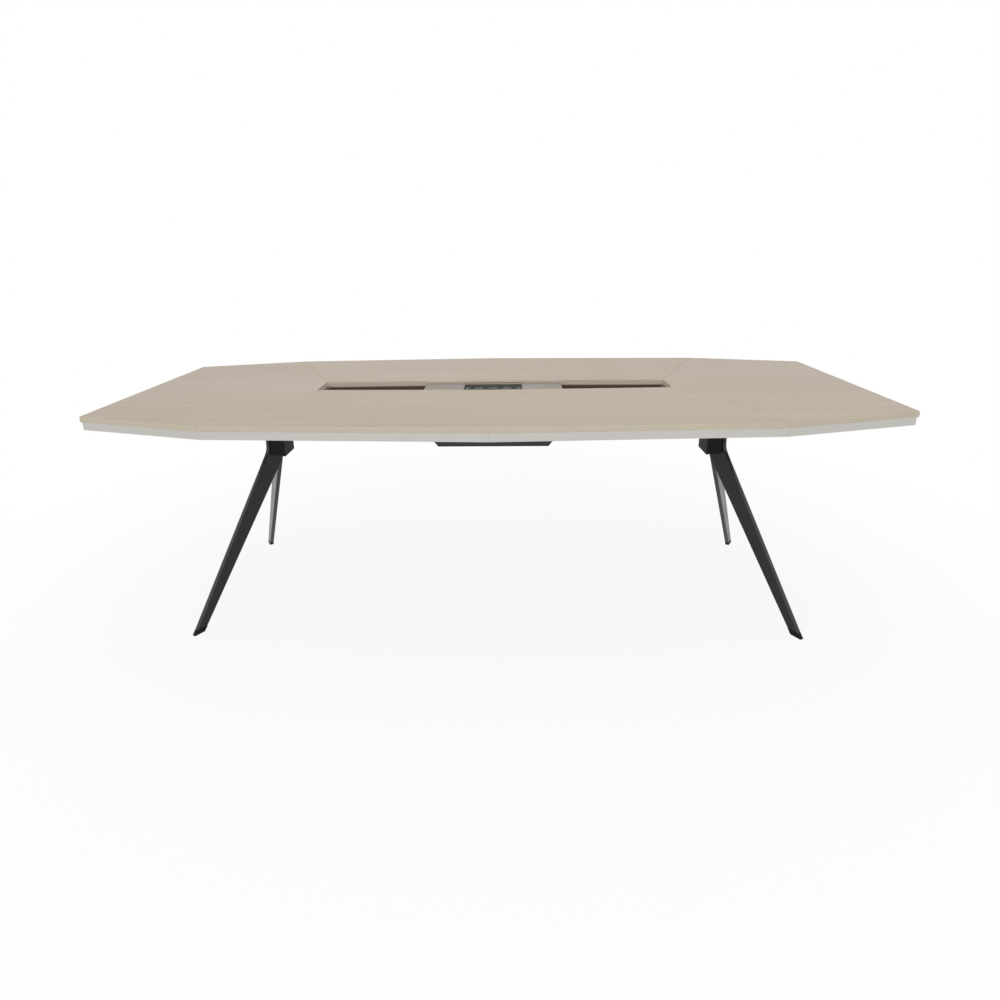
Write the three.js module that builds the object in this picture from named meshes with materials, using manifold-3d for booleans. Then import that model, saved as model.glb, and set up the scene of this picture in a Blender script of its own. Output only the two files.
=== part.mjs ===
// Conference table: a ten-sided oak-faced top on two pairs of splayed blade legs, with a wood-lined
// cable well down the middle, a power unit with two lift-up flaps, and a sheet-steel cable tray.
// Millimetres, +Z up, origin on the floor under the centre of the top, long side along X.
import * as THREE from "three";
import { mergeVertices } from "three/addons/utils/BufferGeometryUtils.js";
import Module from "manifold-3d";

// Top: the outline has straight ends, tapered corners and long sides that bow out to the middle.
const TABLE_LENGTH = 2400;
const TABLE_WIDTH = 1200;
const TABLE_HEIGHT = 760;
const SIDE_BOW = 40;
const TAPER_LENGTH = 400;
const TAPER_DEPTH = 120;
const BOARD_THICKNESS = 18;
const BOARD_EASE = 0.8;
const BOARD_EDGE_ROUND = 5;
const BOARD_SEAM = 0.4;

// Cut-out down the middle of the top, as wide as this at its ends and bowed out to its middle, and the
// lining boards of the cable well under it.
const CUTOUT_LENGTH = 1190;
const CUTOUT_WIDTH = 140;
const CUTOUT_BOW = 20;
const WELL_LEDGE = 12;
const WELL_WALL = 22;
const WELL_DEPTH = 100;
const WELL_FLOOR = 9;

// Edge trim: an aluminium angle under the lip of the boards, mitred at every corner.
const TRIM_SETBACK = 4;
const TRIM_HEIGHT = 24;
const TRIM_SHEET = 3;
const TRIM_FLANGE = 25;
const TRIM_JOINT = 0.3;

// Underframe of rectangular steel tube.
const RAIL_SPACING = 280;
const RAIL_WIDTH = 40;
const RAIL_HEIGHT = 40;
const RAIL_OVERHANG = 190;
const TUBE_WALL = 2.5;
const TUBE_CORNER = 4;
const PLUG_LIP = 4;
const PLUG_DEPTH = 18;
const PLUG_CLEARANCE = 0.3;
const ARM_SPACING = 840;
const ARM_MARGIN = 60;
const ARM_WIDTH = 36;
const ARM_SHEET = 4;
const ARM_ROOT = 36;
const ARM_TIP = 14;
const JOINER_LENGTH = 180;
const JOINER_WIDTH = 60;
const JOINER_SHEET = 3;

// Leg sets: two tapered blades meet in a mitre at an apex and are backed by an inner hub.
const LEG_SPACING = 1540;
const LEG_SPLAY = THREE.MathUtils.degToRad(60);
const LEG_THICKNESS = 15;
const LEG_EASE = 1.8;
const LEG_REACH = 457;
const FOOT_LENGTH = 39;
const NECK_WIDTH = 53;
const KNEE_DROP = 152;
const KNEE_BEND = 19;
const CROTCH_DROP = 199;
const MITRE_GAP = 0.3;
const FOOT_CAP_HEIGHT = 16;
const FOOT_CAP_GAP = 0.3;
const TONGUE_THICKNESS = 6;
const TONGUE_WIDTH = 16;
const TONGUE_HEIGHT = 22;
const TONGUE_CLEARANCE = 0.3;
const HUB_SETBACK = 36;
const HUB_WIDTH = 108;
const HUB_HEIGHT = 173;
const HUB_GRIP = 46;
const HUB_HOLLOW = 12;
const HUB_GAP = 0.3;
const TOP_PLATE_THICKNESS = 8;
const TOP_PLATE_MARGIN = 16;
const TOP_PLATE_CORNER = 12;

// Cable tray: a folded trough with sloped ends that hangs inside the well walls.
const TRAY_FLOOR_LENGTH = 380;
const TRAY_TOP_LENGTH = 516;
const TRAY_DROP = 83;
const TRAY_FLANGE = 40;
const TRAY_SHEET = 2;
const TRAY_CLEARANCE = 0.3;

// Power unit: an aluminium frame on the well ledges, a socket strip and two flaps on rear hinges.
const POWER_RECESS = 8;
const FRAME_HEIGHT = 10;
const FRAME_CLEARANCE = 0.5;
const DECK_BAR = 6;
const FLAP_LENGTH = 130;
const FLAP_THICKNESS = 5;
const FLAP_REST = 9;
const FLAP_GAP = 0.5;
const HINGE_RADIUS = 4;
const HINGE_INSET = 8;
const HINGE_LUG = 10;
const HINGE_GAP = 0.5;
const PIN_RADIUS = 2;
const PIN_CLEARANCE = 0.2;
const SOCKET_COUNT = 4;
const SOCKET_FLANGE = 47;
const SOCKET_SPACE = 1;
const SOCKET_BODY = 43;
const SOCKET_HEIGHT = 34;
const SOCKET_FACE = 2;
const SOCKET_DISH = 17;
const SOCKET_DISH_DEPTH = 1.2;
const PIN_HOLE_RADIUS = 2.4;
const PIN_HOLE_SPACING = 19;
const PIN_HOLE_DEPTH = 16;
const SOCKET_CLEARANCE = 0.3;
const HOUSING_SINK = 6;
const HOUSING_DEPTH = 52;
const HOUSING_WALL = 3;
const HOUSING_FLANGE = 4;
const HOUSING_SIDE_GAP = 20;

const finish = (color, roughness, metalness) => {
  return new THREE.MeshStandardMaterial({ color, roughness, metalness });
};
const oak = finish(0xbbafa1, 0.55, 0);
const wellWood = finish(0x6a564b, 0.6, 0);
const brushedAluminium = finish(0xc4c3be, 0.3, 1);
const anodisedPanel = finish(0x9b9698, 0.4, 1);
const blackSteel = finish(0x2d2e30, 0.5, 0.5);
const blackPlastic = finish(0x151515, 0.6, 0);
const socketGrey = finish(0x7b7a79, 0.4, 0.2);
const hingeSteel = finish(0xa6a6a4, 0.35, 1);

// Heights that the pieces share.
const boardUnderside = TABLE_HEIGHT - BOARD_THICKNESS;
const railUnderside = boardUnderside - RAIL_HEIGHT;
const neckTop = railUnderside - TOP_PLATE_THICKNESS;
const wellBottom = boardUnderside - WELL_DEPTH;
const powerTop = TABLE_HEIGHT - POWER_RECESS;

const wasm = await Module();
wasm.setup();

function solidOf(geometry) {
  const bare = geometry.clone();
  bare.deleteAttribute("normal");
  bare.deleteAttribute("uv");
  const merged = mergeVertices(bare);
  const vertProperties = merged.attributes.position.array;
  const triVerts = new Uint32Array(merged.index.array);
  return new wasm.Manifold(new wasm.Mesh({ numProp: 3, vertProperties, triVerts }));
}

function geometryOf(solid) {
  const { vertProperties, triVerts } = solid.getMesh();
  const geometry = new THREE.BufferGeometry();
  geometry.setAttribute("position", new THREE.BufferAttribute(vertProperties, 3));
  geometry.setIndex(new THREE.BufferAttribute(triVerts, 1));
  return geometry;
}

function joined(first, ...rest) {
  return geometryOf(rest.reduce((whole, piece) => whole.add(solidOf(piece)), solidOf(first)));
}

function cut(body, ...tools) {
  return geometryOf(tools.reduce((left, tool) => left.subtract(solidOf(tool)), solidOf(body)));
}

const toShape = (outline) => new THREE.Shape(outline.map(([x, y]) => new THREE.Vector2(x, y)));

// A rectangle with round corners, as the outline of a tube or plate.
function roundedRectangle(x0, x1, y0, y1, radius) {
  const shape = new THREE.Shape();
  shape.moveTo(x0 + radius, y0);
  shape.lineTo(x1 - radius, y0);
  shape.absarc(x1 - radius, y0 + radius, radius, -Math.PI / 2, 0);
  shape.lineTo(x1, y1 - radius);
  shape.absarc(x1 - radius, y1 - radius, radius, 0, Math.PI / 2);
  shape.lineTo(x0 + radius, y1);
  shape.absarc(x0 + radius, y1 - radius, radius, Math.PI / 2, Math.PI);
  shape.lineTo(x0, y0 + radius);
  shape.absarc(x0 + radius, y0 + radius, radius, Math.PI, Math.PI * 1.5);
  return shape;
}

function box(x0, x1, y0, y1, z0, z1) {
  const geometry = new THREE.BoxGeometry(x1 - x0, y1 - y0, z1 - z0);
  return geometry.translate((x0 + x1) / 2, (y0 + y1) / 2, (z0 + z1) / 2);
}

// Extrusions of a shape: standing on a plan outline, and across a side or an end view.
function standing(shape, z0, z1, ease = 0) {
  const options = { depth: z1 - z0 - 2 * ease, bevelEnabled: ease > 0, curveSegments: 6 };
  Object.assign(options, { bevelThickness: ease, bevelSize: ease, bevelOffset: -ease, bevelSegments: 1 });
  return new THREE.ExtrudeGeometry(shape, options).translate(0, 0, z0 + ease);
}

function acrossSide(shape, y0, y1, ease = 0) {
  return standing(shape, -y1, -y0, ease).rotateX(Math.PI / 2);
}

const endViewBasis = new THREE.Matrix4().makeBasis(
  new THREE.Vector3(0, 1, 0),
  new THREE.Vector3(0, 0, 1),
  new THREE.Vector3(1, 0, 0),
);

function acrossEnd(shape, x0, x1, ease = 0) {
  return standing(shape, x0, x1, ease).applyMatrix4(endViewBasis);
}

const alongX = (radius, x0, x1) => {
  const rod = new THREE.CylinderGeometry(radius, radius, x1 - x0, 16);
  return rod.rotateZ(Math.PI / 2).translate((x0 + x1) / 2, 0, 0);
};

const table = new THREE.Group();

function add(parent, name, geometry, material) {
  const mesh = new THREE.Mesh(geometry, material);
  mesh.name = name;
  parent.add(mesh);
  return mesh;
}

// A two-sided piece on the left or right: its near and far distance from the middle as a low and high x.
const span = (sign, near, far) => (sign > 0 ? [near, far] : [-far, -near]);
const sides = [
  ["left", -1],
  ["right", 1],
];
const faces = [
  ["front", -1],
  ["back", 1],
];

// An outline whose edges are each moved inwards by their own distance; corners run anticlockwise.
function insetOutline(corners, insets) {
  const lines = corners.map(([x, y], i) => {
    const [nextX, nextY] = corners[(i + 1) % corners.length];
    const length = Math.hypot(nextX - x, nextY - y);
    const along = [(nextX - x) / length, (nextY - y) / length];
    return { along, start: [x - along[1] * insets[i], y + along[0] * insets[i]] };
  });
  return lines.map((line, i) => {
    const before = lines[(i + lines.length - 1) % lines.length];
    const turn = before.along[0] * line.along[1] - before.along[1] * line.along[0];
    const gap = [line.start[0] - before.start[0], line.start[1] - before.start[1]];
    const reach = (gap[0] * line.along[1] - gap[1] * line.along[0]) / turn;
    return [before.start[0] + before.along[0] * reach, before.start[1] + before.along[1] * reach];
  });
}

// Outline of the top, anticlockwise from the front left corner, with the trim strip after each corner.
const middle = TABLE_WIDTH / 2;
const shoulder = { x: TABLE_LENGTH / 2 - TAPER_LENGTH, y: middle - SIDE_BOW };
const end = { x: TABLE_LENGTH / 2, y: shoulder.y - TAPER_DEPTH };
const cutout = { x: CUTOUT_LENGTH / 2, y: CUTOUT_WIDTH / 2 };
const cutoutY = (x) => cutout.y + CUTOUT_BOW * (1 - Math.abs(x) / cutout.x);
const outline = [
  { corner: [-end.x, -end.y], strip: "trim_front_left_taper" },
  { corner: [-shoulder.x, -shoulder.y], strip: "trim_front_left" },
  { corner: [0, -middle], strip: "trim_front_right" },
  { corner: [shoulder.x, -shoulder.y], strip: "trim_front_right_taper" },
  { corner: [end.x, -end.y], strip: "trim_right_end" },
  { corner: [end.x, end.y], strip: "trim_back_right_taper" },
  { corner: [shoulder.x, shoulder.y], strip: "trim_back_right" },
  { corner: [0, middle], strip: "trim_back_left" },
  { corner: [-shoulder.x, shoulder.y], strip: "trim_back_left_taper" },
  { corner: [-end.x, end.y], strip: "trim_left_end" },
];
const cornerAt = (i) => new THREE.Vector2(...outline[(i + outline.length) % outline.length].corner);
const edgeDirection = (i) => cornerAt(i + 1).sub(cornerAt(i)).normalize();
const mitreAt = (i) => Math.tan(Math.asin(edgeDirection(i - 1).cross(edgeDirection(i))) / 2);

// A section run along one edge of the outline and mitred at both ends; a joint holds the ends apart.
// The section's x is the distance in from the edge and its y is the height.
function mitredStrip(section, edge, joint) {
  const start = cornerAt(edge);
  const along = edgeDirection(edge);
  const length = start.distanceTo(cornerAt(edge + 1));
  const geometry = standing(section, 0, length);
  const position = geometry.attributes.position;
  for (let v = 0; v < position.count; v += 1) {
    const inset = position.getX(v);
    const height = position.getY(v);
    const atStart = position.getZ(v) < length / 2;
    const reach = atStart
      ? inset * mitreAt(edge) + joint / 2
      : length - inset * mitreAt(edge + 1) - joint / 2;
    const x = start.x + along.x * reach - along.y * inset;
    const y = start.y + along.y * reach + along.x * inset;
    position.setXYZ(v, x, y, height);
  }
  geometry.computeVertexNormals();
  return geometry;
}

// Top boards: two end boards and two long boards, mitred from the cut-out to the shoulders, with
// their outer top edges rounded.
function topBoards() {
  const seam = BOARD_SEAM / 2;
  const longBoard = insetOutline(
    [
      [-shoulder.x, -shoulder.y],
      [0, -middle],
      [shoulder.x, -shoulder.y],
      [cutout.x, -cutout.y],
      [0, -cutoutY(0)],
      [-cutout.x, -cutout.y],
    ],
    [0, 0, seam, 0, 0, seam],
  );
  const endBoard = insetOutline(
    [
      [cutout.x, -cutout.y],
      [shoulder.x, -shoulder.y],
      [end.x, -end.y],
      [end.x, end.y],
      [shoulder.x, shoulder.y],
      [cutout.x, cutout.y],
    ],
    [seam, 0, 0, 0, seam, 0],
  );
  const round = BOARD_EDGE_ROUND;
  const waste = new THREE.Shape();
  waste.moveTo(-round, TABLE_HEIGHT - round);
  waste.lineTo(0, TABLE_HEIGHT - round);
  waste.absarc(round, TABLE_HEIGHT - round, round, Math.PI, Math.PI / 2, true);
  waste.lineTo(round, TABLE_HEIGHT + round);
  waste.lineTo(-round, TABLE_HEIGHT + round);
  const board = (plan, ...edges) => {
    const blank = standing(toShape(plan), boardUnderside, TABLE_HEIGHT, BOARD_EASE);
    return cut(blank, ...edges.map((edge) => mitredStrip(waste, edge, -BOARD_SEAM)));
  };
  add(table, "top_board_front", board(longBoard, 1, 2), oak);
  add(table, "top_board_back", board(longBoard, 1, 2), oak).rotation.z = Math.PI;
  add(table, "top_board_right", board(endBoard, 3, 4, 5), oak);
  add(table, "top_board_left", board(endBoard, 3, 4, 5), oak).rotation.z = Math.PI;
}

// Edge trim: one aluminium angle per edge of the outline, its ends moved back to the mitres.
function edgeTrim() {
  const outerFace = TRIM_SETBACK;
  const bottom = boardUnderside - TRIM_HEIGHT;
  const angleSection = toShape([
    [outerFace, bottom],
    [outerFace + TRIM_SHEET, bottom],
    [outerFace + TRIM_SHEET, boardUnderside - TRIM_SHEET],
    [outerFace + TRIM_FLANGE, boardUnderside - TRIM_SHEET],
    [outerFace + TRIM_FLANGE, boardUnderside],
    [outerFace, boardUnderside],
  ]);
  outline.forEach(({ strip }, edge) => {
    add(table, strip, mitredStrip(angleSection, edge, TRIM_JOINT), brushedAluminium);
  });
}

// Underframe: two long rails with plugged ends, a cross beam over each leg set and four arms.
const apex = LEG_SPACING / 2;
const plateInner = apex - HUB_SETBACK - TOP_PLATE_MARGIN;
const neckReachX = NECK_WIDTH * Math.cos(LEG_SPLAY) + (LEG_THICKNESS / 2) * Math.sin(LEG_SPLAY);
const plateOuter = apex + neckReachX + TOP_PLATE_MARGIN;
const rail = { inner: (RAIL_SPACING - RAIL_WIDTH) / 2, outer: (RAIL_SPACING + RAIL_WIDTH) / 2 };
const railHalf = plateOuter + RAIL_OVERHANG;

function tubeSection(x0, x1, y0, y1) {
  const section = roundedRectangle(x0, x1, y0, y1, TUBE_CORNER);
  const bore = [x0 + TUBE_WALL, x1 - TUBE_WALL, y0 + TUBE_WALL, y1 - TUBE_WALL];
  section.holes.push(roundedRectangle(...bore, TUBE_CORNER - TUBE_WALL));
  return section;
}

function underframe() {
  for (const [face, sy] of faces) {
    const [y0, y1] = span(sy, rail.inner, rail.outer);
    const section = tubeSection(y0, y1, railUnderside, boardUnderside);
    add(table, `rail_${face}`, acrossEnd(section, -railHalf, railHalf), blackSteel);
    const inset = TUBE_WALL + PLUG_CLEARANCE;
    const spigot = [y0 + inset, y1 - inset, railUnderside + inset, boardUnderside - inset];
    for (const [side, sx] of sides) {
      const lip = roundedRectangle(y0, y1, railUnderside, boardUnderside, TUBE_CORNER);
      const stem = roundedRectangle(...spigot, TUBE_CORNER - TUBE_WALL);
      const plug = joined(
        acrossEnd(lip, ...span(sx, railHalf, railHalf + PLUG_LIP)),
        acrossEnd(stem, ...span(sx, railHalf - PLUG_DEPTH, railHalf + PLUG_LIP / 2)),
      );
      add(table, `rail_plug_${face}_${side}`, plug, blackPlastic);
      armAt(face, sy, side, sx);
    }
  }
  for (const [side, sx] of sides) {
    const section = tubeSection(...span(sx, plateInner, plateOuter), railUnderside, boardUnderside);
    add(table, `cross_beam_${side}`, acrossSide(section, -rail.inner, rail.inner), blackSteel);
  }
}

// A bracket arm: a flat flange against the board and a web that tapers towards the table's edge.
function armAt(face, sy, side, sx) {
  const root = rail.outer;
  const tip = shoulder.y - ARM_MARGIN;
  const centre = (sx * ARM_SPACING) / 2;
  const web = toShape([
    [sy * root, boardUnderside - ARM_ROOT],
    [sy * tip, boardUnderside - ARM_TIP],
    [sy * tip, boardUnderside],
    [sy * root, boardUnderside],
  ]);
  const flange = box(
    centre - ARM_WIDTH / 2,
    centre + ARM_WIDTH / 2,
    ...span(sy, root, tip),
    boardUnderside - ARM_SHEET,
    boardUnderside,
  );
  const arm = joined(acrossEnd(web, centre - ARM_SHEET / 2, centre + ARM_SHEET / 2), flange);
  add(table, `arm_${face}_${side}`, arm, blackSteel);
}

// Joiner plates: flat steel across the middle of each mitred seam, screwed up into both boards.
function seamJoiners() {
  const seamX = (cutout.x + shoulder.x) / 2;
  const seamY = (cutout.y + shoulder.y) / 2;
  const slope = Math.atan2(shoulder.y - cutout.y, shoulder.x - cutout.x);
  const half = { x: JOINER_LENGTH / 2, y: JOINER_WIDTH / 2 };
  const plan = roundedRectangle(-half.x, half.x, -half.y, half.y, TUBE_CORNER);
  for (const [face, sy] of faces) {
    for (const [side, sx] of sides) {
      const plate = standing(plan, boardUnderside - JOINER_SHEET, boardUnderside);
      const mesh = add(table, `seam_joiner_${face}_${side}`, plate, blackSteel);
      mesh.position.set(sx * seamX, sy * seamY, 0);
      mesh.rotation.z = sx * sy * slope;
    }
  }
}

// Legs: in a leg's own frame x runs out from the apex, y is its thickness and z is up.
const kneeHeight = neckTop - KNEE_DROP;
const crotchHeight = neckTop - CROTCH_DROP;
const outerEdge = (z) => LEG_REACH + ((NECK_WIDTH - LEG_REACH) * z) / kneeHeight;
const innerEdge = (z) => (LEG_REACH - FOOT_LENGTH) * (1 - z / crotchHeight);
const legMiddle = (z) => (outerEdge(z) + innerEdge(z)) / 2;

// The cap's tongue leans with the leg; grow widens it into the pocket that takes it.
function tongueOutline(grow) {
  const root = FOOT_CAP_HEIGHT / 2;
  const top = FOOT_CAP_HEIGHT + TONGUE_HEIGHT + grow;
  const half = TONGUE_WIDTH / 2 + grow;
  return toShape([
    [legMiddle(root) - half, root],
    [legMiddle(root) + half, root],
    [legMiddle(top) + half, top],
    [legMiddle(top) - half, top],
  ]);
}

function legBlade(angle, sy) {
  const foot = FOOT_CAP_HEIGHT + FOOT_CAP_GAP;
  const pastApex = -LEG_THICKNESS;
  const crotchPastApex = crotchHeight * (1 - pastApex / (LEG_REACH - FOOT_LENGTH));
  const shape = new THREE.Shape();
  shape.moveTo(outerEdge(foot), foot);
  shape.lineTo(outerEdge(kneeHeight - KNEE_BEND), kneeHeight - KNEE_BEND);
  shape.quadraticCurveTo(NECK_WIDTH, kneeHeight, NECK_WIDTH, kneeHeight + KNEE_BEND);
  shape.lineTo(NECK_WIDTH, neckTop);
  shape.lineTo(pastApex, neckTop);
  shape.lineTo(pastApex, crotchPastApex);
  shape.lineTo(innerEdge(foot), foot);
  const blade = acrossSide(shape, -LEG_THICKNESS / 2, LEG_THICKNESS / 2, LEG_EASE);

  // The mitre is the table's own centre plane, turned back into the leg's frame.
  const far = LEG_REACH;
  const mitre = box(-far, far, ...span(-sy, -MITRE_GAP / 2, far), 0, TABLE_HEIGHT).rotateZ(-angle);
  const pocketHalf = TONGUE_THICKNESS / 2 + TONGUE_CLEARANCE;
  const pocket = acrossSide(tongueOutline(TONGUE_CLEARANCE), -pocketHalf, pocketHalf);
  return cut(blade, mitre, pocket);
}

function footCap() {
  const side = toShape([
    [innerEdge(0), 0],
    [outerEdge(0), 0],
    [outerEdge(FOOT_CAP_HEIGHT), FOOT_CAP_HEIGHT],
    [innerEdge(FOOT_CAP_HEIGHT), FOOT_CAP_HEIGHT],
  ]);
  const pad = acrossSide(side, -LEG_THICKNESS / 2, LEG_THICKNESS / 2, LEG_EASE / 2);
  return joined(pad, acrossSide(tongueOutline(0), -TONGUE_THICKNESS / 2, TONGUE_THICKNESS / 2));
}

// Hub: a flat face towards the middle of the table, hollowed flanks and a saddle for the blades.
function hub() {
  const half = HUB_WIDTH / 2;
  const offset = LEG_THICKNESS / 2 + HUB_GAP;
  const saddle = offset / Math.sin(LEG_SPLAY);
  const gripX = HUB_GRIP * Math.cos(LEG_SPLAY) - offset * Math.sin(LEG_SPLAY);
  const gripY = HUB_GRIP * Math.sin(LEG_SPLAY) + offset * Math.cos(LEG_SPLAY);
  const flankX = (gripX - HUB_SETBACK) / 2;
  const flankY = (gripY + half) / 2 - HUB_HOLLOW;
  const plan = new THREE.Shape();
  plan.moveTo(-HUB_SETBACK, -half);
  plan.quadraticCurveTo(flankX, -flankY, gripX, -gripY);
  plan.lineTo(-saddle, 0);
  plan.lineTo(gripX, gripY);
  plan.quadraticCurveTo(flankX, flankY, -HUB_SETBACK, half);
  return standing(plan, neckTop - HUB_HEIGHT, neckTop);
}

function legSets() {
  for (const [side, sx] of sides) {
    const set = new THREE.Group();
    set.position.x = sx * apex;
    set.rotation.z = sx > 0 ? 0 : Math.PI;
    table.add(set);
    add(set, `leg_hub_${side}`, hub(), blackSteel);

    const plateHalf = HUB_WIDTH / 2 + TOP_PLATE_MARGIN;
    const plateSpan = [plateInner - apex, plateOuter - apex, -plateHalf, plateHalf];
    const plate = standing(roundedRectangle(...plateSpan, TOP_PLATE_CORNER), neckTop, railUnderside);
    add(set, `leg_top_plate_${side}`, plate, blackSteel);

    for (const [face, sy] of faces) {
      const turn = sx * sy;
      const leg = new THREE.Group();
      leg.rotation.z = turn * LEG_SPLAY;
      set.add(leg);
      add(leg, `leg_${face}_${side}`, legBlade(leg.rotation.z, turn), blackSteel);
      add(leg, `foot_cap_${face}_${side}`, footCap(), blackPlastic);
    }
  }
}

// Plan outline between two distances along the table, its long edges at a half width that bows.
function bowedPlan(x0, x1, halfWidth) {
  const stations = x0 < 0 && x1 > 0 ? [x0, 0, x1] : [x0, x1];
  const front = stations.map((x) => [x, -halfWidth(x)]);
  const back = stations.map((x) => [x, halfWidth(x)]);
  return toShape([...front, ...back.reverse()]);
}

// Cable well: long and end lining boards under the cut-out, and a floor each side of the tray.
const wellEnd = { inside: cutout.x - WELL_LEDGE, outside: cutout.x - WELL_LEDGE + WELL_WALL };
const wellInside = (x) => cutoutY(x) - WELL_LEDGE;
const trayTop = TRAY_TOP_LENGTH / 2;

function cableWell() {
  for (const [face, sy] of faces) {
    const stations = [-wellEnd.outside, 0, wellEnd.outside];
    const inner = stations.map((x) => [x, sy * wellInside(x)]);
    const outer = stations.map((x) => [x, sy * (wellInside(x) + WELL_WALL)]);
    const wall = standing(toShape([...inner, ...outer.reverse()]), wellBottom, boardUnderside);
    add(table, `well_wall_${face}`, wall, wellWood);
  }
  for (const [side, sx] of sides) {
    const wallPlan = bowedPlan(...span(sx, wellEnd.inside, wellEnd.outside), wellInside);
    add(table, `well_wall_${side}`, standing(wallPlan, wellBottom, boardUnderside), wellWood);
    const floorPlan = bowedPlan(...span(sx, trayTop + TRAY_CLEARANCE, wellEnd.inside), wellInside);
    add(table, `well_floor_${side}`, standing(floorPlan, wellBottom, wellBottom + WELL_FLOOR), wellWood);
  }
}

// Cable tray: sides that run up inside the well walls, and ends that slope up to the well floors.
function cableTray() {
  const floor = TRAY_FLOOR_LENGTH / 2;
  const bottom = wellBottom - TRAY_DROP;
  const top = wellBottom + TRAY_FLANGE;
  const lean = (trayTop - floor) / TRAY_DROP;
  const wallX = TRAY_SHEET * Math.hypot(1, lean);
  const insideX = (z) => floor + lean * (z - bottom) - wallX;
  const outsideY = wellInside(trayTop) - TRAY_CLEARANCE;
  const insideY = outsideY - TRAY_SHEET;
  const past = trayTop + WELL_WALL;
  const outer = toShape([
    [-floor, bottom],
    [floor, bottom],
    [trayTop, wellBottom],
    [trayTop, top],
    [-trayTop, top],
    [-trayTop, wellBottom],
  ]);
  const inner = toShape([
    [-insideX(bottom + TRAY_SHEET), bottom + TRAY_SHEET],
    [insideX(bottom + TRAY_SHEET), bottom + TRAY_SHEET],
    [insideX(wellBottom), wellBottom],
    [past, wellBottom],
    [past, top + WELL_WALL],
    [-past, top + WELL_WALL],
    [-past, wellBottom],
    [-insideX(wellBottom), wellBottom],
  ]);
  const folded = cut(acrossSide(outer, -outsideY, outsideY), acrossSide(inner, -insideY, insideY));
  add(table, "cable_tray", folded, blackSteel);
}

// Power unit sizes: the socket strip sets the middle deck, and the flaps lie either side of it.
const socketPitch = SOCKET_FLANGE + SOCKET_SPACE;
const housingX = (SOCKET_COUNT * socketPitch) / 2 + HOUSING_WALL;
const deckHalf = housingX + DECK_BAR;
const flapInner = deckHalf + FLAP_GAP;
const flapOuter = flapInner + FLAP_LENGTH;
const housing = { x: housingX, y: wellInside(flapOuter) - HOUSING_SIDE_GAP };
const frameEdge = (x) => cutoutY(x) - FRAME_CLEARANCE;
const frameBottom = powerTop - FRAME_HEIGHT;
const restTop = powerTop - FLAP_THICKNESS - HINGE_GAP;
const hinge = { y: frameEdge(flapOuter) - HINGE_INSET, z: powerTop - HINGE_RADIUS };
const lugInner = [flapInner, flapInner + HINGE_LUG];
const lugOuter = [flapOuter - HINGE_LUG, flapOuter];
const barrel = [lugInner[1] + HINGE_GAP, lugOuter[0] - HINGE_GAP];
const atHinge = (geometry) => geometry.translate(0, hinge.y, hinge.z);

// A lug's end view: round over the pin and straight down to the frame.
function lugShape() {
  const shape = new THREE.Shape();
  shape.moveTo(hinge.y - HINGE_RADIUS, frameBottom);
  shape.lineTo(hinge.y + HINGE_RADIUS, frameBottom);
  shape.lineTo(hinge.y + HINGE_RADIUS, hinge.z);
  shape.absarc(hinge.y, hinge.z, HINGE_RADIUS, 0, Math.PI);
  return shape;
}

function powerFrame() {
  const bore = PIN_RADIUS + PIN_CLEARANCE;
  const windowY = [-wellInside(flapOuter), hinge.y - HINGE_RADIUS - FLAP_REST];
  const grooveY = HINGE_RADIUS + HINGE_GAP;
  let frame = joined(
    standing(bowedPlan(-flapOuter, flapOuter, frameEdge), frameBottom, restTop),
    standing(bowedPlan(-deckHalf, deckHalf, frameEdge), frameBottom, powerTop),
  );
  frame = cut(frame, box(-housing.x, housing.x, -housing.y, housing.y, frameBottom - 1, powerTop + 1));
  for (const [, sx] of sides) {
    const windowX = span(sx, flapInner + FLAP_REST, flapOuter - FLAP_REST);
    const grooveX = span(sx, ...barrel.map((x, i) => x + (i ? HINGE_GAP : -HINGE_GAP) / 2));
    const groove = [hinge.y - grooveY, hinge.y + grooveY, hinge.z - grooveY, powerTop];
    frame = cut(frame, box(...windowX, ...windowY, frameBottom - 1, powerTop), box(...grooveX, ...groove));
    const lugs = [lugInner, lugOuter].map((lug) => acrossEnd(lugShape(), ...span(sx, ...lug)));
    frame = cut(joined(frame, ...lugs), atHinge(alongX(bore, ...span(sx, flapInner, flapOuter))));
  }
  add(table, "power_frame", frame, anodisedPanel);
}

// Flaps: a flat lid notched round the hinge lugs, with a barrel along its rear edge on a steel pin.
function powerFlaps() {
  for (const [side, sx] of sides) {
    const notch = hinge.y - HINGE_RADIUS - HINGE_GAP * 5;
    const lidZ = [powerTop - FLAP_THICKNESS, powerTop];
    const lidPlan = toShape([
      [sx * flapInner, -frameEdge(flapInner)],
      [sx * flapOuter, -frameEdge(flapOuter)],
      [sx * flapOuter, notch],
      [sx * flapInner, notch],
    ]);
    const lid = standing(lidPlan, ...lidZ);
    const neck = box(...span(sx, ...barrel), notch - 1, hinge.y, ...lidZ);
    const roll = atHinge(alongX(HINGE_RADIUS, ...span(sx, ...barrel)));
    const bore = atHinge(alongX(PIN_RADIUS + PIN_CLEARANCE, ...span(sx, flapInner, flapOuter)));
    add(table, `flap_${side}`, cut(joined(lid, neck, roll), bore), anodisedPanel);
    const pin = atHinge(alongX(PIN_RADIUS, ...span(sx, flapInner, flapOuter)));
    add(table, `flap_pin_${side}`, pin, hingeSteel);
  }
}

// Socket strip: a black housing hung under the frame, with a row of dished sockets in its top.
const socketDeck = powerTop - HOUSING_SINK;
const socketX = (i) => (i - (SOCKET_COUNT - 1) / 2) * socketPitch;

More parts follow.
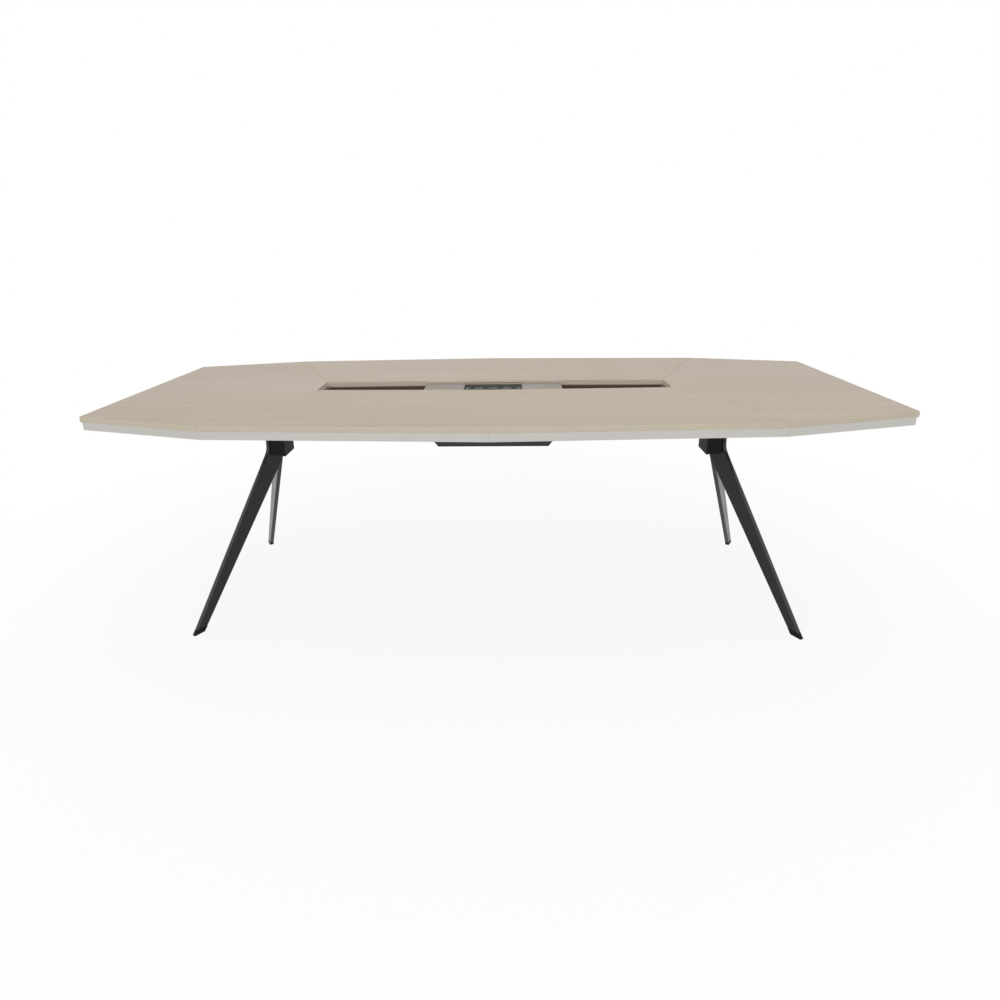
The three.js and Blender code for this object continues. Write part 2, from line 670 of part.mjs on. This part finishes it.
function socketStrip() {
  const clear = FRAME_CLEARANCE / 2;
  const outer = { x: housing.x - clear, y: housing.y - clear };
  const bottom = frameBottom - HOUSING_DEPTH;
  const flange = { x: housing.x + HOUSING_FLANGE, y: housing.y + HOUSING_FLANGE };
  const inside = { x: outer.x - HOUSING_WALL, y: outer.y - HOUSING_WALL };
  const shell = joined(
    box(-outer.x, outer.x, -outer.y, outer.y, bottom, socketDeck),
    box(-flange.x, flange.x, -flange.y, flange.y, frameBottom - HOUSING_WALL, frameBottom),
  );
  const hole = SOCKET_BODY / 2 + SOCKET_CLEARANCE;
  const cuts = [box(-inside.x, inside.x, -inside.y, inside.y, bottom - 1, socketDeck - HOUSING_WALL)];
  for (let i = 0; i < SOCKET_COUNT; i += 1) {
    cuts.push(box(socketX(i) - hole, socketX(i) + hole, -hole, hole, bottom, socketDeck + 1));
  }
  add(table, "socket_housing", cut(shell, ...cuts), blackPlastic);

  for (let i = 0; i < SOCKET_COUNT; i += 1) {
    add(table, `socket_${i + 1}`, socket(), socketGrey).position.set(socketX(i), 0, socketDeck);
  }
}

function socket() {
  const face = SOCKET_FLANGE / 2;
  const body = SOCKET_BODY / 2;
  const upright = (radius, z0, z1, sidesRound) => {
    const rod = new THREE.CylinderGeometry(radius, radius, z1 - z0, sidesRound);
    return rod.rotateX(Math.PI / 2).translate(0, 0, (z0 + z1) / 2);
  };
  const block = joined(
    standing(roundedRectangle(-face, face, -face, face, SOCKET_FACE), 0, SOCKET_FACE),
    box(-body, body, -body, body, -SOCKET_HEIGHT, SOCKET_FACE / 2),
  );
  const holes = [-1, 1].map((sx) => {
    const hole = upright(PIN_HOLE_RADIUS, -PIN_HOLE_DEPTH, SOCKET_FACE, 12);
    return hole.translate((sx * PIN_HOLE_SPACING) / 2, 0, 0);
  });
  return cut(block, upright(SOCKET_DISH, SOCKET_FACE - SOCKET_DISH_DEPTH, SOCKET_FACE + 1, 24), ...holes);
}

topBoards();
edgeTrim();
underframe();
seamJoiners();
legSets();
cableWell();
cableTray();
powerFrame();
powerFlaps();
socketStrip();

export default table;
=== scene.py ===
import math

import bmesh
import bpy
from mathutils import Matrix, Vector


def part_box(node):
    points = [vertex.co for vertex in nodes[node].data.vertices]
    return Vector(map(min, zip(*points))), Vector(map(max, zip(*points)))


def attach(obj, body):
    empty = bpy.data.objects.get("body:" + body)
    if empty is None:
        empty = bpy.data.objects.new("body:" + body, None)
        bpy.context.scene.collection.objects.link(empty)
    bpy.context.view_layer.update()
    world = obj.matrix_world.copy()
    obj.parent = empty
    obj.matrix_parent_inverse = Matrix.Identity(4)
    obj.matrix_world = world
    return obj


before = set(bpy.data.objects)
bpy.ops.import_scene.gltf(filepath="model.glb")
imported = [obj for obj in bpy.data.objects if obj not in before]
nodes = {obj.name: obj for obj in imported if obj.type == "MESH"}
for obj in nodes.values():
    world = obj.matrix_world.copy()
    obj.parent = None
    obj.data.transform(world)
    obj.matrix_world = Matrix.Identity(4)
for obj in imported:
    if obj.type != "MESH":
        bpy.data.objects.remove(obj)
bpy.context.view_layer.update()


# Photo studio. A plain white sweep under soft light: an overhead bank, a front fill and two side strips.
# Camera and reflections see the same white sweep, which keeps a share of the table's soft shadow.
def srgb(red, green, blue):
    def linear(value):
        value /= 255
        return value / 12.92 if value <= 0.04045 else ((value + 0.055) / 1.055) ** 2.4

    return (linear(red), linear(green), linear(blue), 1.0)


def node_tree(owner):
    owner.use_nodes = True
    owner.node_tree.nodes.clear()
    return owner.node_tree


def add_node(tree, kind, **settings):
    node = tree.nodes.new(kind)
    for name, value in settings.items():
        if hasattr(node, name):
            setattr(node, name, value)
        else:
            node.inputs[name.replace("_", " ")].default_value = value
    return node


def maths(tree, operation, first, second):
    node = add_node(tree, "ShaderNodeMath", operation=operation)
    for socket, value in zip(node.inputs, (first, second)):
        if isinstance(value, (int, float)):
            socket.default_value = value
        else:
            tree.links.new(value, socket)
    return node.outputs[0]


def mix_shaders(tree, share, first, second):
    node = tree.nodes.new("ShaderNodeMixShader")
    tree.links.new(share, node.inputs[0])
    tree.links.new(first.outputs[0], node.inputs[1])
    tree.links.new(second.outputs[0], node.inputs[2])
    return node


def seen_directly(tree):
    ray = tree.nodes.new("ShaderNodeLightPath")
    seen = maths(tree, "MAXIMUM", ray.outputs["Is Camera Ray"], ray.outputs["Is Glossy Ray"])
    return maths(tree, "MAXIMUM", seen, ray.outputs["Is Transmission Ray"])


bpy.context.scene.view_settings.view_transform = "Standard"

WHITE = (1, 1, 1, 1)
SURROUND_FILL = 0.34
world = bpy.data.worlds.new("studio_surround")
bpy.context.scene.world = world
tree = node_tree(world)
fill = add_node(tree, "ShaderNodeBackground", Color=WHITE, Strength=SURROUND_FILL)
backdrop = add_node(tree, "ShaderNodeBackground", Color=WHITE, Strength=1.0)
surround = tree.nodes.new("ShaderNodeOutputWorld")
tree.links.new(mix_shaders(tree, seen_directly(tree), fill, backdrop).outputs[0], surround.inputs[0])

SWEEP_SIZE = 24.0
SWEEP_DROP = 0.0005
SWEEP_PAPER = (0.9, 0.9, 0.9, 1)
SHADOW_SHARE = 0.11
SHADOW_FULL = 0.9
SHADOW_REACH = 2.6
bpy.ops.object.select_all(action="DESELECT")
bpy.ops.mesh.primitive_plane_add(size=SWEEP_SIZE, location=(0, 0, -SWEEP_DROP))
sweep = bpy.context.object
sweep.name = "studio_sweep"
bpy.ops.object.transform_apply(location=True, rotation=True, scale=True)
white_sweep = bpy.data.materials.new("white_sweep")
tree = node_tree(white_sweep)
place = tree.nodes.new("ShaderNodeTexCoord")
distance = add_node(tree, "ShaderNodeVectorMath", operation="LENGTH")
tree.links.new(place.outputs["Object"], distance.inputs[0])
near = add_node(tree, "ShaderNodeMapRange", interpolation_type="SMOOTHSTEP", To_Max=1.0)
near.inputs["From Min"].default_value = SHADOW_FULL
near.inputs["From Max"].default_value = SHADOW_REACH
near.inputs["To Min"].default_value = 1 - SHADOW_SHARE
tree.links.new(distance.outputs["Value"], near.inputs["Value"])
paper = add_node(tree, "ShaderNodeBsdfDiffuse", Color=SWEEP_PAPER)
white = add_node(tree, "ShaderNodeEmission", Color=WHITE, Strength=1.0)
white_share = maths(tree, "MULTIPLY", seen_directly(tree), near.outputs[0])
surface = tree.nodes.new("ShaderNodeOutputMaterial")
tree.links.new(mix_shaders(tree, white_share, paper, white).outputs[0], surface.inputs[0])
sweep.data.materials.append(white_sweep)


def soft_light(name, place, target, size, power):
    lamp = bpy.data.lights.new(name, "AREA")
    lamp.shape = "RECTANGLE"
    lamp.size, lamp.size_y = size
    lamp.energy = power
    holder = bpy.data.objects.new(name, lamp)
    bpy.context.scene.collection.objects.link(holder)
    holder.location = place
    holder.rotation_euler = (Vector(target) - Vector(place)).to_track_quat("-Z", "Y").to_euler()
    holder.visible_camera = False


soft_light("overhead_bank", (0.1, 0.1, 3.4), (0, 0, 0.7), (3.6, 2.4), 38)
soft_light("front_fill", (-0.4, -4.4, 1.9), (0, 0, 0.6), (6.0, 3.0), 98)
soft_light("left_strip", (-3.4, -0.4, 1.9), (-0.9, -0.3, 0.4), (1.6, 2.4), 12)
soft_light("right_strip", (3.4, -0.4, 1.9), (0.9, -0.3, 0.4), (1.6, 2.4), 12)

# Camera. The photograph's own viewpoint, worked out from the corners of the top and the four feet.
CAMERA_PLACE = (0.0555, -2.3966, 1.2122)
CAMERA_PITCH = 0.3509
CAMERA_YAW = -0.0414
CAMERA_ROLL = -0.0161
SENSOR_WIDTH = 36
FOCAL_LENGTH = 25.16
LENS_SHIFT = (0.01775, 0.0007)
forward = Vector(
    (
        math.sin(CAMERA_YAW) * math.cos(CAMERA_PITCH),
        math.cos(CAMERA_YAW) * math.cos(CAMERA_PITCH),
        -math.sin(CAMERA_PITCH),
    )
)
sideways = Vector((math.cos(CAMERA_YAW), -math.sin(CAMERA_YAW), 0))
upright = sideways.cross(forward)
right = math.cos(CAMERA_ROLL) * sideways + math.sin(CAMERA_ROLL) * upright
up = math.cos(CAMERA_ROLL) * upright - math.sin(CAMERA_ROLL) * sideways
lens = bpy.data.cameras.new("camera")
lens.sensor_width = SENSOR_WIDTH
lens.lens = FOCAL_LENGTH
lens.shift_x, lens.shift_y = LENS_SHIFT
camera = bpy.data.objects.new("camera", lens)
bpy.context.scene.collection.objects.link(camera)
camera.matrix_world = Matrix.Translation(CAMERA_PLACE) @ Matrix((right, up, -forward)).transposed().to_4x4()
bpy.context.scene.camera = camera


# Top boards. Pale limed oak veneer on an 18 mm core, matt lacquered, in four boards mitred together.
# The figure runs along the table on all four; the edges are banded in a paler strip of the same wood
# and the undersides carry a plain balancing sheet. The edges round the cable cut-out are painted paler
# still: painted light that lifts the shade falling on them inside the slot.
def finish_with(material, *names):
    for name in names:
        materials = nodes[name].data.materials
        materials.clear()
        materials.append(material)


def named(start):
    return [name for name in sorted(nodes) if name.startswith(start)]


def shader(material, **constants):
    tree = node_tree(material)
    surface = tree.nodes.new("ShaderNodeBsdfPrincipled")
    for name, value in constants.items():
        surface.inputs[name.replace("_", " ")].default_value = value
    output = tree.nodes.new("ShaderNodeOutputMaterial")
    tree.links.new(surface.outputs[0], output.inputs[0])
    return tree, surface


def new_group(name, inputs, outputs):
    group = bpy.data.node_groups.new(name, "ShaderNodeTree")
    for socket, kind in inputs:
        group.interface.new_socket(socket, in_out="INPUT", socket_type=kind)
    for socket, kind in outputs:
        group.interface.new_socket(socket, in_out="OUTPUT", socket_type=kind)
    return group, group.nodes.new("NodeGroupInput"), group.nodes.new("NodeGroupOutput")


def blend(tree, share, first, second):
    node = add_node(tree, "ShaderNodeMix", data_type="RGBA")
    for socket, value in zip((node.inputs[0], node.inputs[6], node.inputs[7]), (share, first, second)):
        if isinstance(value, (int, float, tuple)):
            socket.default_value = value
        else:
            tree.links.new(value, socket)
    return node.outputs[2]


def rescale(tree, value, low, high, to_low, to_high):
    node = add_node(tree, "ShaderNodeMapRange", From_Min=low, From_Max=high, To_Min=to_low, To_Max=to_high)
    tree.links.new(value, node.inputs["Value"])
    return node.outputs[0]


def noise(tree, place, stretch, scale=1.0, detail=3.0, roughness=0.55):
    mapping = add_node(tree, "ShaderNodeMapping", Scale=stretch)
    texture = add_node(tree, "ShaderNodeTexNoise", Scale=scale, Detail=detail, Roughness=roughness)
    tree.links.new(place, mapping.inputs["Vector"])
    tree.links.new(mapping.outputs[0], texture.inputs["Vector"])
    return texture.outputs["Fac"]


grain, given, put_out = new_group(
    "oak_grain",
    [
        ("Place", "NodeSocketVector"),
        ("Light", "NodeSocketColor"),
        ("Dark", "NodeSocketColor"),
        ("Pore", "NodeSocketColor"),
    ],
    [("Color", "NodeSocketColor"), ("Pores", "NodeSocketFloat"), ("Height", "NodeSocketFloat")],
)
place = given.outputs["Place"]
cloud = rescale(grain, noise(grain, place, (1.3, 2.6, 2.6)), 0.3, 0.7, -0.10, 0.10)
figure = noise(grain, place, (0.9, 26.0, 26.0), detail=5.0, roughness=0.62)
fibre = noise(grain, place, (7.0, 420.0, 420.0), detail=3.0, roughness=0.6)
vessel = noise(grain, place, (30.0, 900.0, 900.0), detail=1.0)
pores = rescale(grain, vessel, 0.62, 0.72, 0.0, 1.0)
streaks = maths(grain, "ADD", maths(grain, "MULTIPLY", figure, 0.55), maths(grain, "MULTIPLY", fibre, 0.45))
tone = rescale(grain, maths(grain, "ADD", streaks, cloud), 0.32, 0.70, 0.0, 1.0)
veneer = blend(grain, tone, given.outputs["Light"], given.outputs["Dark"])
veneer = blend(grain, maths(grain, "MULTIPLY", pores, 0.30), veneer, given.outputs["Pore"])
height = maths(grain, "SUBTRACT", fibre, maths(grain, "MULTIPLY", pores, 0.8))
grain.links.new(veneer, put_out.inputs["Color"])
grain.links.new(pores, put_out.inputs["Pores"])
grain.links.new(height, put_out.inputs["Height"])


def wood_finish(name, light, dark, pore, roughness, shift=(0, 0, 0), banding=None):
    material = bpy.data.materials.new(name)
    tree, surface = shader(material, IOR=1.45, Specular_IOR_Level=0.35)
    place = tree.nodes.new("ShaderNodeTexCoord")
    mapping = add_node(tree, "ShaderNodeMapping", Location=shift)
    figure = tree.nodes.new("ShaderNodeGroup")
    figure.node_tree = grain
    figure.inputs["Light"].default_value = light
    figure.inputs["Dark"].default_value = dark
    figure.inputs["Pore"].default_value = pore
    tree.links.new(place.outputs["Object"], mapping.inputs["Vector"])
    tree.links.new(mapping.outputs[0], figure.inputs["Place"])
    color = figure.outputs["Color"]
    if banding:
        edge, painted_light_edge, backing = banding
        facing = tree.nodes.new("ShaderNodeSeparateXYZ")
        tree.links.new(place.outputs["Normal"], facing.inputs[0])
        inner = tree.nodes.new("ShaderNodeSeparateXYZ")
        tree.links.new(place.outputs["Object"], inner.inputs[0])
        # The cut-out's edges get a paler colour than the outer edges: painted light against the shade in
        # the slot.
        painted_light_share = rescale(tree, maths(tree, "ABSOLUTE", inner.outputs["Y"], 0), 0.10, 0.12, 1.0, 0.0)
        banded = blend(tree, 0.75, color, blend(tree, painted_light_share, edge, painted_light_edge))
        color = blend(tree, rescale(tree, facing.outputs["Z"], 0.45, 0.85, 0.0, 1.0), banded, color)
        sheet = blend(tree, noise(tree, place.outputs["Object"], (60, 60, 60)), backing, banded)
        color = blend(tree, rescale(tree, facing.outputs["Z"], -0.85, -0.60, 1.0, 0.0), color, sheet)
    tree.links.new(color, surface.inputs["Base Color"])
    gloss = rescale(tree, figure.outputs["Pores"], 0.0, 1.0, roughness, roughness + 0.14)
    tree.links.new(gloss, surface.inputs["Roughness"])
    bump = add_node(tree, "ShaderNodeBump", Strength=0.22, Distance=0.0003)
    tree.links.new(figure.outputs["Height"], bump.inputs["Height"])
    tree.links.new(bump.outputs[0], surface.inputs["Normal"])
    return material


OAK_LIGHT = srgb(191, 177, 160)
OAK_DARK = srgb(179, 164, 145)
OAK_PORE = srgb(150, 134, 116)
OAK_EDGE = srgb(198, 189, 169)
# Paler colour for the cut-out's edges: painted light that offsets the shade falling on them in the slot.
CUTOUT_EDGE_PAINTED_LIGHT = srgb(224, 212, 196)
BACKING_SHEET = srgb(168, 158, 146)
VENEER_SHIFTS = {
    "front": (0.0, 0.0, 0.0),
    "back": (3.1, 1.7, 0.0),
    "left": (6.4, 0.9, 0.0),
    "right": (9.2, 2.6, 0.0),
}
for board, shift in VENEER_SHIFTS.items():
    banding = (OAK_EDGE, CUTOUT_EDGE_PAINTED_LIGHT, BACKING_SHEET)
    oak = wood_finish(f"limed_oak_{board}", OAK_LIGHT, OAK_DARK, OAK_PORE, 0.46, shift, banding)
    finish_with(oak, f"top_board_{board}")


# Edge trim. Extruded aluminium angle, satin on its face, screwed up under the lip of the boards
# and mitred at each of the ten corners; the die leaves faint lines along its length.
def metal_finish(name, color, roughness, stretch, bump_depth):
    material = bpy.data.materials.new(name)
    tree, surface = shader(material, Metallic=1.0)
    place = tree.nodes.new("ShaderNodeTexCoord").outputs["Object"]
    lines = noise(tree, place, stretch, detail=4.0, roughness=0.6)
    smudge = noise(tree, place, (6, 6, 6), detail=3.0)
    worn = maths(tree, "ADD", maths(tree, "MULTIPLY", lines, 0.5), smudge)
    rough = rescale(tree, worn, 0.4, 1.1, roughness * 0.75, roughness * 1.3)
    duller = tuple(channel * 0.92 for channel in color[:3]) + (1.0,)
    bump = add_node(tree, "ShaderNodeBump", Strength=0.15, Distance=bump_depth)
    tree.links.new(rough, surface.inputs["Roughness"])
    tree.links.new(blend(tree, lines, duller, color), surface.inputs["Base Color"])
    tree.links.new(lines, bump.inputs["Height"])
    tree.links.new(bump.outputs[0], surface.inputs["Normal"])
    return material


satin_trim = metal_finish("satin_aluminium", srgb(197, 194, 189), 0.20, (3, 3, 900), 0.00005)
finish_with(satin_trim, *named("trim_"))


# Trim screws. Zinc-plated pan heads with a round driver recess, driven up through the flange of
# each trim angle into the board, about every 200 mm.
def start_piece():
    bpy.ops.object.select_all(action="DESELECT")


def pick_faces(test):
    bpy.ops.mesh.select_mode(type="FACE")
    bpy.ops.mesh.select_all(action="DESELECT")
    mesh = bpy.context.edit_object.data
    shape = bmesh.from_edit_mesh(mesh)
    for face in shape.faces:
        face.select_set(test(face))
    bmesh.update_edit_mesh(mesh)


def push_faces(x, y, z):
    bpy.ops.mesh.extrude_region_move(TRANSFORM_OT_translate={"value": (x, y, z)})


def driven_head(sides, radius, height, rounding, recess):
    start_piece()
    middle = (0, 0, -height / 2)
    bpy.ops.mesh.primitive_cylinder_add(vertices=sides, radius=radius, depth=height, location=middle)
    head = bpy.context.object
    bpy.ops.object.transform_apply(location=True, rotation=True, scale=True)
    bpy.ops.object.mode_set(mode="EDIT")
    pick_faces(lambda face: face.normal.z < -0.9)
    bpy.ops.mesh.bevel(offset=rounding, segments=2, affect="EDGES")
    if recess:
        pick_faces(lambda face: face.normal.z < -0.99)
        bpy.ops.mesh.inset(thickness=(radius - rounding) * 0.45, depth=0)
        push_faces(0, 0, recess)
    bpy.ops.object.mode_set(mode="OBJECT")
    return head


def pan_head():
    return driven_head(PAN_SIDES, PAN_RADIUS, PAN_HEIGHT, PAN_ROUNDING, PAN_RECESS)


def set_copies(master, name, places, body, material):
    start_piece()
    for place in places:
        copy = master.copy()
        copy.data = master.data.copy()
        copy.data.transform(place)
        bpy.context.scene.collection.objects.link(copy)
        copy.select_set(True)
        bpy.context.view_layer.objects.active = copy
    bpy.ops.object.join()
    joined = bpy.context.object
    joined.name = name
    joined.data.materials.clear()
    joined.data.materials.append(material)
    bpy.ops.object.shade_smooth_by_angle(angle=SMOOTH_ANGLE)
    bpy.data.objects.remove(master)
    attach(joined, body)


zinc_plate = metal_finish("zinc_plated_steel", srgb(178, 178, 174), 0.32, (300, 300, 300), 0.00002)
SMOOTH_ANGLE = math.radians(35)
PAN_SIDES = 12
PAN_RADIUS = 0.0042
PAN_HEIGHT = 0.0026
PAN_ROUNDING = 0.0009
PAN_RECESS = 0.0014
HALF_LENGTH = 1.2
HALF_WIDTH = 0.6
SHOULDER = (0.8, 0.56)
END_HALF_WIDTH = 0.44
OUTLINE = (
    (-HALF_LENGTH, -END_HALF_WIDTH),
    (-SHOULDER[0], -SHOULDER[1]),
    (0.0, -HALF_WIDTH),
    (SHOULDER[0], -SHOULDER[1]),
    (HALF_LENGTH, -END_HALF_WIDTH),
)
OUTLINE += tuple((-x, -y) for x, y in OUTLINE)
FLANGE_SHEET = 0.003
FLANGE_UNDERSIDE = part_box("trim_front_left")[1][2] - FLANGE_SHEET
SCREW_INSET = 0.019
SCREW_SPACING = 0.2
places = []
for start, end in zip(OUTLINE, OUTLINE[1:] + OUTLINE[:1]):
    along = Vector(end) - Vector(start)
    inwards = Vector((-along.y, along.x)).normalized() * SCREW_INSET
    count = max(2, round(along.length / SCREW_SPACING))
    for i in range(count):
        spot = Vector(start) + along * ((i + 0.5) / count) + inwards
        places.append(Matrix.Translation((spot.x, spot.y, FLANGE_UNDERSIDE)))
set_copies(pan_head(), "trim_screws", places, "table", zinc_plate)


# Underframe. Two long rails and two cross beams of rectangular steel tube, four bracket arms and four
# joiner plates, welded or screwed together and finished in semi-gloss black powder coat with its
# fine orange-peel ripple.
def coated_finish(name, color, roughness, peel_scale, peel_depth, gloss):
    material = bpy.data.materials.new(name)
    tree, surface = shader(material, IOR=1.5, Specular_IOR_Level=gloss)
    place = tree.nodes.new("ShaderNodeTexCoord").outputs["Object"]
    peel = noise(tree, place, (1, 1, 1), scale=peel_scale, detail=2.0, roughness=0.5)
    dust = noise(tree, place, (9, 9, 9), detail=4.0, roughness=0.6)
    rough = rescale(tree, dust, 0.3, 0.7, roughness - 0.05, roughness + 0.07)
    low = tuple(channel * 0.85 for channel in color[:3]) + (1.0,)
    high = tuple(channel * 1.18 for channel in color[:3]) + (1.0,)
    bump = add_node(tree, "ShaderNodeBump", Strength=0.3, Distance=peel_depth)
    tree.links.new(rough, surface.inputs["Roughness"])
    tree.links.new(blend(tree, dust, low, high), surface.inputs["Base Color"])
    tree.links.new(peel, bump.inputs["Height"])
    tree.links.new(bump.outputs[0], surface.inputs["Normal"])
    return material


powder_coat = coated_finish("black_powder_coat", srgb(30, 30, 31), 0.32, 900.0, 0.00012, 0.3)
finish_with(powder_coat, *named("rail_front"), *named("rail_back"), *named("cross_beam"))
finish_with(powder_coat, *named("arm_"), *named("seam_joiner"))


# Underframe screws. The same pan heads, in pairs along each bracket arm's flange and in two rows of
# three on every joiner plate.
ARM_SHEET = 0.004
ARM_SCREW_SHARES = (0.08, 0.4, 0.72, 0.94)
ARM_SCREW_OFFSET = 0.0105
CUTOUT_CORNER = (0.595, 0.07)
JOINER_SLOPE = math.atan2(SHOULDER[1] - CUTOUT_CORNER[1], SHOULDER[0] - CUTOUT_CORNER[0])
JOINER_ROWS = (-0.07, 0.0, 0.07)
JOINER_OFFSET = 0.018
places = []
for name in named("arm_"):
    low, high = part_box(name)
    level = high[2] - ARM_SHEET
    middle = (low[0] + high[0]) / 2
    for step in ARM_SCREW_SHARES:
        along = low[1] + (high[1] - low[1]) * (step if high[1] > 0 else 1 - step)
        for side in (-1, 1):
            places.append(Matrix.Translation((middle + side * ARM_SCREW_OFFSET, along, level)))
for name in named("seam_joiner"):
    low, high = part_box(name)
    turn = JOINER_SLOPE if low[0] * low[1] > 0 else -JOINER_SLOPE
    centre = Matrix.Translation(((low[0] + high[0]) / 2, (low[1] + high[1]) / 2, low[2]))
    for along in JOINER_ROWS:
        for across in (-JOINER_OFFSET, JOINER_OFFSET):
            places.append(centre @ Matrix.Rotation(turn, 4, "Z") @ Matrix.Translation((along, across, 0)))
set_copies(pan_head(), "underframe_screws", places, "table", zinc_plate)


# Legs. Two laser-cut steel blades to a set, mitred at the apex and welded to a hollow-flanked hub
# under a bolted top plate; the blades have a smooth black coat, hub and plate a duller one.
leg_coat = coated_finish("black_leg_coat", srgb(27, 27, 28), 0.24, 900.0, 0.00010, 0.30)
finish_with(leg_coat, *named("leg_back"), *named("leg_front"))
hub_coat = coated_finish("black_cast_hub_coat", srgb(27, 27, 28), 0.62, 700.0, 0.00016, 0.15)
finish_with(hub_coat, *named("leg_hub"), *named("leg_top_plate"))


# Leg bolts. Four zinc-plated hexagon bolts on washers hold each top plate up to its cross beam: two in
# the fork between the blades and two inboard of the hub.
def hexagon_bolt():
    bolt = driven_head(6, BOLT_RADIUS, BOLT_HEIGHT, BOLT_ROUNDING, 0.0)
    bolt.data.transform(Matrix.Translation((0, 0, -WASHER_SHEET)))
    ring = driven_head(WASHER_SIDES, WASHER_RADIUS, WASHER_SHEET, WASHER_ROUNDING, 0.0)
    start_piece()
    ring.select_set(True)
    bolt.select_set(True)
    bpy.context.view_layer.objects.active = bolt
    bpy.ops.object.join()
    return bolt


BOLT_RADIUS = 0.0066
BOLT_HEIGHT = 0.005
BOLT_ROUNDING = 0.0007
WASHER_SIDES = 24
WASHER_RADIUS = 0.0071
WASHER_SHEET = 0.0014
WASHER_ROUNDING = 0.0003
APEX = 0.77
FORK_BOLT = (0.034, 0.02)
INBOARD_BOLT = (-0.0445, 0.042)
places = []
for name in named("leg_top_plate"):
    low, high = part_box(name)
    outwards = 1 if low[0] > 0 else -1
    for x, offset in (FORK_BOLT, INBOARD_BOLT):
        for y in (offset, -offset):
            places.append(Matrix.Translation((outwards * (APEX + x), y, low[2])))
set_copies(hexagon_bolt(), "leg_bolts", places, "table", zinc_plate)


# Foot caps and rail plugs. Injection-moulded black plastic with a fine spark grain, pushed into the
# blade's pocket or the end of the tube.
moulded_black = coated_finish("black_moulded_plastic", srgb(14, 14, 14), 0.60, 1600.0, 0.0001, 0.15)
finish_with(moulded_black, *named("foot_cap"), *named("rail_plug"))


# Cable well. Dark brown faced lining boards glued and screwed under the cut-out, with a floor board
# at each end.
lining = wood_finish("brown_lining_board", srgb(102, 84, 72), srgb(82, 66, 56), srgb(54, 42, 34), 0.55)
finish_with(lining, *named("well_"))


# Cable tray. Folded sheet steel in black powder coat, screwed to the lining boards near its corners.
tray_coat = coated_finish("black_tray_coat", srgb(44, 45, 46), 0.36, 900.0, 0.00012, 0.35)
finish_with(tray_coat, "cable_tray")
TRAY_SHEET = 0.002
TRAY_SCREW_DROP = 0.02
TRAY_SCREW_INSET = 0.012
places = []
low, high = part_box("cable_tray")
for side in (-1, 1):
    level = high[2] - TRAY_SCREW_DROP
    inner_face = (high[1] if side > 0 else low[1]) - side * TRAY_SHEET
    turn = Matrix.Rotation(math.radians(-90 * side), 4, "X")
    for x in (low[0] + TRAY_SCREW_INSET, high[0] - TRAY_SCREW_INSET):
        places.append(Matrix.Translation((x, inner_face, level)) @ turn)
set_copies(pan_head(), "tray_screws", places, "table", zinc_plate)


# Power unit frame and flaps. Satin anodised aluminium with a lengthwise brushing; each flap turns on a
# ground steel pin along its rear edge.
anodised = metal_finish("satin_anodised_panel", srgb(133, 125, 115), 0.38, (2, 700, 700), 0.00004)
finish_with(anodised, "power_frame", "flap_left", "flap_right")
hinge_steel = metal_finish("ground_steel_pin", srgb(170, 170, 168), 0.3, (4, 500, 500), 0.00003)
finish_with(hinge_steel, *named("flap_pin"))


# Socket strip. Four dished sockets in dark grey moulded plastic, dropped into a black housing.
socket_grey = coated_finish("grey_socket_plastic", srgb(48, 45, 41), 0.46, 1200.0, 0.00006, 0.3)
SOCKETS = [f"socket_{i}" for i in range(1, 5)]
finish_with(socket_grey, *SOCKETS)
finish_with(moulded_black, "socket_housing")


# Socket shutters. A black moulded shutter stands in the middle of each dish between the pin holes,
# with a stepped edge and a shallow slot.
SHUTTER_HALF = (0.0064, 0.0145)
SHUTTER_RISE = 0.0009
SHUTTER_CORNER = 0.003
SHUTTER_STEP = 0.0008
SHUTTER_RIM = 0.0022
DISH_DEPTH = 0.0012
start_piece()
bpy.ops.mesh.primitive_plane_add(size=2)
shutter = bpy.context.object
shutter.scale = (*SHUTTER_HALF, 1)
bpy.ops.object.transform_apply(location=True, rotation=True, scale=True)
bpy.ops.object.mode_set(mode="EDIT")
bpy.ops.mesh.select_mode(type="VERT")
bpy.ops.mesh.select_all(action="SELECT")
bpy.ops.mesh.bevel(offset=SHUTTER_CORNER, segments=4, affect="VERTICES")
pick_faces(lambda face: True)
push_faces(0, 0, SHUTTER_RISE * 0.6)
pick_faces(lambda face: face.normal.z > 0.9 and face.calc_center_median().z > SHUTTER_RISE * 0.5)
bpy.ops.mesh.inset(thickness=SHUTTER_STEP, depth=0)
push_faces(0, 0, SHUTTER_RISE * 0.4)
pick_faces(lambda face: face.normal.z > 0.9 and face.calc_center_median().z > SHUTTER_RISE * 0.9)
bpy.ops.mesh.inset(thickness=SHUTTER_RIM, depth=0)
push_faces(0, 0, -SHUTTER_RISE * 0.5)
bpy.ops.mesh.select_all(action="SELECT")
bpy.ops.mesh.normals_make_consistent(inside=False)
bpy.ops.object.mode_set(mode="OBJECT")
places = []
for name in SOCKETS:
    low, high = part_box(name)
    places.append(Matrix.Translation(((low[0] + high[0]) / 2, 0, high[2] - DISH_DEPTH)))
set_copies(shutter, "socket_shutters", places, "table", moulded_black)
